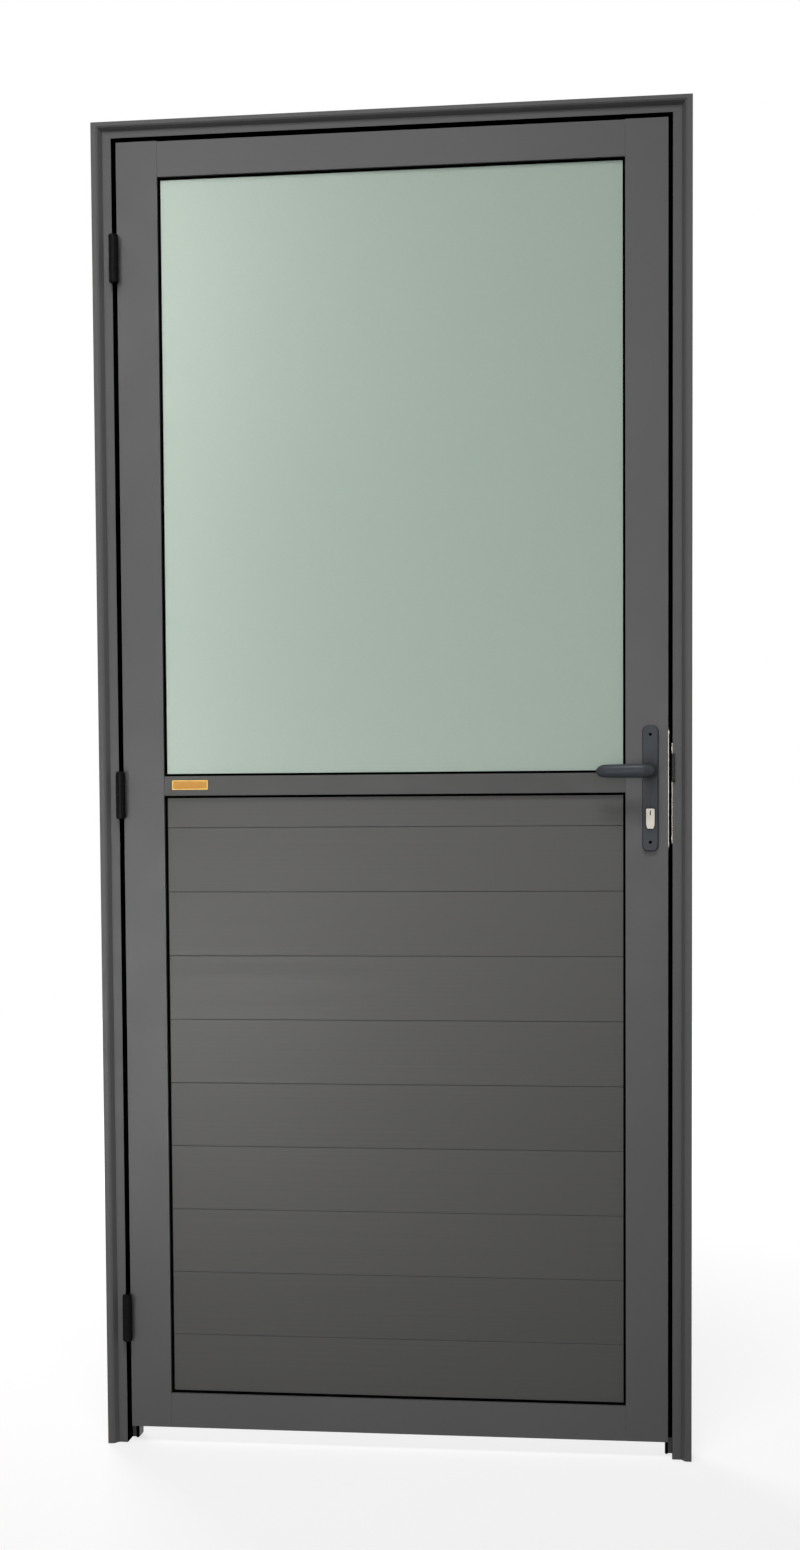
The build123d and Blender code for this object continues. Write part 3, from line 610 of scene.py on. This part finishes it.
# %% [markdown]
# The faceplate of the lock, in the edge of the stile, and the strike plate, in the jamb, each
# have two nickel screws that stand a little proud. The two plates differ only in their side, so
# one loop does both, and then all screws of a body become one piece.

# %%  Screws of the lock
LOCK_SCREW = {"Radius": 3.6 * MM, "Height": 1.2 * MM, "Finish": nickel}
LOCK_SCREW_INSET = 9 * MM

faceplate_low, faceplate_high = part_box("lock_faceplate")
strike_low, strike_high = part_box("strike_plate")
for rows, low, high, face, turn in (
    (leaf_rows, faceplate_low, faceplate_high, faceplate_high.x, FACE_RIGHT),
    (frame_rows, strike_low, strike_high, strike_low.x, FACE_LEFT),
):
    first = (face, (low.y + high.y) / 2, low.z + LOCK_SCREW_INSET)
    pitch = high.z - low.z - 2 * LOCK_SCREW_INSET
    rows.append(row_mesh(LOCK_SCREW, 2, first, pitch, turn))
piece_from_meshes("frame_screws", frame_rows, "frame", "black_hinge")
piece_from_meshes("leaf_screws", leaf_rows, "leaf", "black_hinge")

# %% [markdown]
# A small pressed brass plate sits at the left end of the middle rail. Such a plate is stamped
# from sheet: it has crisp corners, a bright raised border and a rubbed field that lies a little
# lower. A bevelled box would have the border but not the field, so it is built as rings of one
# rounded outline, each with its own inset and height.

# %%  Rings of a rounded plate
CORNER_STEPS = 6
SMALLEST_CORNER = 0.3 * MM


def rounded_outline(size, corner):
    """Points round a rectangle with round corners, in the plane of the door."""
    points = []
    for quarter, (side_x, side_z) in enumerate(((1, 1), (-1, 1), (-1, -1), (1, -1))):
        centre = Vector((side_x * (size.x / 2 - corner), side_z * (size.y / 2 - corner)))
        for step in range(CORNER_STEPS + 1):
            angle = QUARTER * (quarter + step / CORNER_STEPS)
            points.append(centre + corner * Vector((math.cos(angle), math.sin(angle))))
    return points


def ringed_plate(name, middle, size, corner, base_y, rings):
    """Plate of rings; each ring is an inset and a height over the rail, outermost first."""
    shape = bmesh.new()
    loops = []
    for inset, height in rings:
        ring_size = size - Vector((2 * inset, 2 * inset))
        ring_corner = max(corner - inset, SMALLEST_CORNER)
        loops.append(
            [
                shape.verts.new((middle.x + point.x, base_y - height, middle.y + point.y))
                for point in rounded_outline(ring_size, ring_corner)
            ]
        )
    count = len(loops[0])
    for outer, inner in zip(loops, loops[1:]):
        for i in range(count):
            j = (i + 1) % count
            shape.faces.new((outer[i], outer[j], inner[j], inner[i]))
    shape.faces.new(loops[-1])
    shape.faces.new(list(reversed(loops[0])))
    bmesh.ops.recalc_face_normals(shape, faces=shape.faces)
    mesh = bpy.data.meshes.new(name)
    shape.to_mesh(mesh)
    shape.free()
    return mesh


print("points in a ring:", 4 * (CORNER_STEPS + 1))

# %%  Brass plate on the middle rail
BADGE_MIDDLE = Vector((124.5, 1070.9)) * MM
BADGE_SIZE = Vector((58.4, 15.4)) * MM
BADGE_CORNER = 1.0 * MM
BADGE_FIELD_INSET = 1.8 * MM
BADGE_FIELD_HEIGHT = 0.5 * MM
BADGE_RINGS = (
    (0, 0),
    (0, 0.7 * MM),
    (0.25 * MM, 0.95 * MM),
    (1.7 * MM, 0.95 * MM),
    (2.0 * MM, 0.4 * MM),
    (3.0 * MM, 0.3 * MM),
)
rail_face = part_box("rail_middle")[0].y
badge_mesh = ringed_plate(
    "badge_plate", BADGE_MIDDLE, BADGE_SIZE, BADGE_CORNER, rail_face, BADGE_RINGS
)
badge_mesh.materials.append(brass)
badge_mesh.materials.append(brass_field)
field_half = BADGE_SIZE / 2 - Vector((BADGE_FIELD_INSET, BADGE_FIELD_INSET))
for face in badge_mesh.polygons:
    height = max(abs(badge_mesh.vertices[i].co.y - rail_face) for i in face.vertices)
    in_width = abs(face.center.x - BADGE_MIDDLE.x) < field_half.x
    in_height = abs(face.center.z - BADGE_MIDDLE.y) < field_half.y
    if in_width and in_height and height < BADGE_FIELD_HEIGHT:
        face.material_index = 1
piece_from_meshes("badge_plate", [badge_mesh], "leaf", "nickel")

# %% [markdown]
# Thin black slabs line the rebate, on the faces of both jambs, the head and the stops. They are
# painted shade, so that the gap round the leaf looks black. A jamb is one solid with one finish,
# so its inner face can't be painted black by itself, and the slabs are built instead.

# %% Painted shade in the rebate
SHADE_SLAB = 0.5 * MM
SHADE_SLAB_EDGE = 0.6 * MM  # how far the shade slabs stay behind the trim's face
TRIM_WALL = 2 * MM


def slab(low, high, finish):
    """A plain block between two corners."""
    mesh = bpy.data.meshes.new("slab")
    shape = bmesh.new()
    bmesh.ops.create_cube(shape, size=1)
    size = Vector(high) - Vector(low)
    middle = (Vector(high) + Vector(low)) / 2
    bmesh.ops.transform(
        shape, matrix=Matrix.Translation(middle) @ Matrix.Diagonal((*size, 1)), verts=shape.verts
    )
    shape.to_mesh(mesh)
    shape.free()
    mesh.materials.append(finish)
    return mesh


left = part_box("jamb_hinge_side")[1].x
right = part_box("jamb_lock_side")[0].x
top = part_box("frame_head")[0].z
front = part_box("trim_hinge_side")[1].y - TRIM_WALL + SHADE_SLAB_EDGE
stop_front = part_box("stop_hinge_side")[0].y
stop_skin = stop_front - SHADE_SLAB
seal_low, seal_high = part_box("rebate_seal")
leaf_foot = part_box("stile_hinge_side")[0].z
# Painted shade: black slabs on the faces round the gap of the leaf.
rebate_shade_slabs = [
    slab(low, high, black_seal)
    for low, high in (
        ((left, front, 0), (left + SHADE_SLAB, stop_front, top)),
        ((right - SHADE_SLAB, front, 0), (right, stop_front, top)),
        ((left, front, top - SHADE_SLAB), (right, stop_front, top)),
        ((left, stop_skin, leaf_foot), (seal_low.x, stop_front, top)),
        ((seal_high.x, stop_skin, leaf_foot), (right, stop_front, top)),
        ((left, stop_skin, seal_high.z), (right, stop_front, top)),
    )
]
piece_from_meshes("rebate_shade", rebate_shade_slabs, "frame", "black_seal")

# %% [markdown]
# The key goes into a narrow slot in the plug of the cylinder. The slot is cut into the solid, but
# its nickel walls mirror the bright studio, where a real slot lies in shade. Its walls can't have
# a finish of their own, so a black slab of painted shade lies in each slot, a little below the
# plug's face.

# %% Painted shade in the key slots
KEY_SLOT = Vector((0.8, 3.7)) * MM  # half its width and half its height
KEY_SLOT_SUNK = 0.3 * MM
KEY_SLOT_DEPTH = 4 * MM
cylinder_low, cylinder_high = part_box("lock_cylinder")
slot_height = cylinder_high.z - (cylinder_high.x - cylinder_low.x) / 2
# Painted shade: a black slab a little below the face of each key slot.
slot_shades = [
    slab(
        (handle_x - KEY_SLOT.x, y, slot_height - KEY_SLOT.y),
        (handle_x + KEY_SLOT.x, y + KEY_SLOT_DEPTH, slot_height + KEY_SLOT.y),
        black_seal,
    )
    for y in (cylinder_low.y + KEY_SLOT_SUNK, cylinder_high.y - KEY_SLOT_SUNK - KEY_SLOT_DEPTH)
]
piece_from_meshes("key_slot_shade", slot_shades, "leaf", "black_seal")

# %% [markdown]
# The studio has a white background. A bright world would also wash out the door, so the Light
# Path node tells the rays apart: to the camera, in gloss and through glass the world is white,
# and to everything else it is a soft, weak light that grows with height.

# %%  Background
WHITE = (1, 1, 1, 1)
WORLD_LOW = 0.09
WORLD_HIGH = 0.25
WORLD_LOW_FROM = -0.3  # height of a ray's direction where the world starts to brighten


def seen_plainly(tree):
    """1 for rays that come from the camera, from gloss or through glass, and else 0."""
    rays = add_node(tree, "ShaderNodeLightPath").outputs
    shows = rays["Is Camera Ray"]
    for other in ("Is Glossy Ray", "Is Transmission Ray"):
        shows = worked_out(tree, "MAXIMUM", shows, rays[other])
    return shows


world = bpy.data.worlds.new("studio")
bpy.context.scene.world = world
world.use_nodes = True
tree = world.node_tree
tree.nodes.clear()
direction = add_node(tree, "ShaderNodeTexCoord").outputs["Generated"]
height = add_node(tree, "ShaderNodeSeparateXYZ", {"Vector": direction}).outputs["Z"]
sky_light = map_range(tree, height, WORLD_LOW, WORLD_HIGH, WORLD_LOW_FROM)
level = map_range(tree, seen_plainly(tree), sky_light, 1.0)
sky = add_node(tree, "ShaderNodeBackground", {"Strength": level, "Color": WHITE})
add_node(tree, "ShaderNodeOutputWorld", {"Surface": sky.outputs["Background"]})
print("world light from", WORLD_LOW, "to", WORLD_HIGH)

# %% [markdown]
# The floor is pale and matt. It could be plain white, but then it would throw light up at the
# door, and its far edge would show. So it is grey and glows, only for the rays that see the
# background too: less near the door, so that the door's shadow stays, and up to full white
# further out, where it meets the background.

# %%  Floor
FLOOR_SIZE = 14.0
FLOOR_GREY = 0.32
FLOOR_WAVES = 60
FLOOR_TONES = (0.99, 1.01)
FLOOR_ROUGH = 0.9
FLOOR_SPECULAR = 0.1
FLOOR_GLOW = (0.72, 1.0)  # near the door and far from it
GLOW_REACH = (1.2, 4.0)  # distances from the origin between which the glow grows
FLOOR_DROP = 1 * MM  # keeps the floor just clear of the door's feet

floor_finish, tree, shader = new_finish("pale_floor")
place = place_in_object(tree)
grain = between(tree, noise(tree, place, FLOOR_WAVES, detail=2), *FLOOR_TONES)
distance = add_node(tree, "ShaderNodeVectorMath", {0: place}, operation="LENGTH").outputs["Value"]
glow = map_range(tree, distance, *FLOOR_GLOW, *GLOW_REACH)
inputs = {
    "Base Color": shaded(tree, (FLOOR_GREY, FLOOR_GREY, FLOOR_GREY, 1), grain),
    "Roughness": FLOOR_ROUGH,
    "Specular IOR Level": FLOOR_SPECULAR,
    "Emission Color": WHITE,
    "Emission Strength": worked_out(tree, "MULTIPLY", seen_plainly(tree), glow),
}
fill(tree, shader, inputs)

floor_mesh = bpy.data.meshes.new("floor")
half = FLOOR_SIZE / 2
corners = [(-half, -half, 0), (half, -half, 0), (half, half, 0), (-half, half, 0)]
floor_mesh.from_pydata(corners, [], [(0, 1, 2, 3)])
floor_mesh.materials.append(floor_finish)
floor = bpy.data.objects.new("floor", floor_mesh)
floor.location.z = -FLOOR_DROP
bpy.context.scene.collection.objects.link(floor)
print("floor", FLOOR_SIZE, "m wide")

# %% [markdown]
# One large soft lamp would light the door evenly, but a real coat shows sheen in places and
# fades towards the floor. So there are five. One hangs high in front, and what stands proud
# throws its shadow downwards. A large one stands far in front and lights the upper part. Two
# small ones on the left put a sheen on the planks and on the head of the door. The lamp behind,
# on the left, is warm and glows through the frosted glass. A narrow spread keeps a lamp's light
# together, as a grid before it does.

# %%  Lamps


def soft_lamp(name, place, target, size, power, spread=180, colour=(1, 1, 1)):
    """Area lamp that faces a target; metres, watts, and an angle in degrees for its spread."""
    light = bpy.data.lights.new(name, "AREA")
    light.shape = "RECTANGLE"
    light.size, light.size_y = size
    light.energy = power
    light.spread = math.radians(spread)
    light.color = colour
    lamp = bpy.data.objects.new(name, light)
    lamp.location = place
    lamp.rotation_euler = (Vector(target) - Vector(place)).to_track_quat("-Z", "Y").to_euler()
    bpy.context.scene.collection.objects.link(lamp)
    print(name, power, "W at", place)


SMALL_LAMP = (0.5, 0.5)
WARM = (1.0, 0.89, 0.91)
soft_lamp("top_lamp", (0.45, -2.4, 4.0), (0.4, 0.0, 0.9), (1.6, 1.0), power=8.6, spread=54)
soft_lamp("front_lamp", (0.2, -6.0, 1.3), (0.4, 0.0, 1.4), (3.0, 2.0), power=6.8, spread=50)
soft_lamp("low_lamp", (-0.5, -2.6, 0.5), (0.1, 0.0, 0.7), SMALL_LAMP, power=1.0, spread=40)
soft_lamp("high_lamp", (-0.5, -2.6, 2.3), (0.1, 0.0, 2.05), SMALL_LAMP, power=0.55, spread=36)
soft_lamp("back_lamp", (-1.5, 3.2, 2.2), (0.3, 0.0, 1.65), (1.6, 3.2), power=105, colour=WARM)

# %% [markdown]
# Blender can grade a picture like film, which changes its colours. Here a colour has to show as
# it was written, so the plain Standard view is used.

# %% Show colours as they are
bpy.context.scene.view_settings.view_transform = "Standard"
bpy.context.view_layer.update()
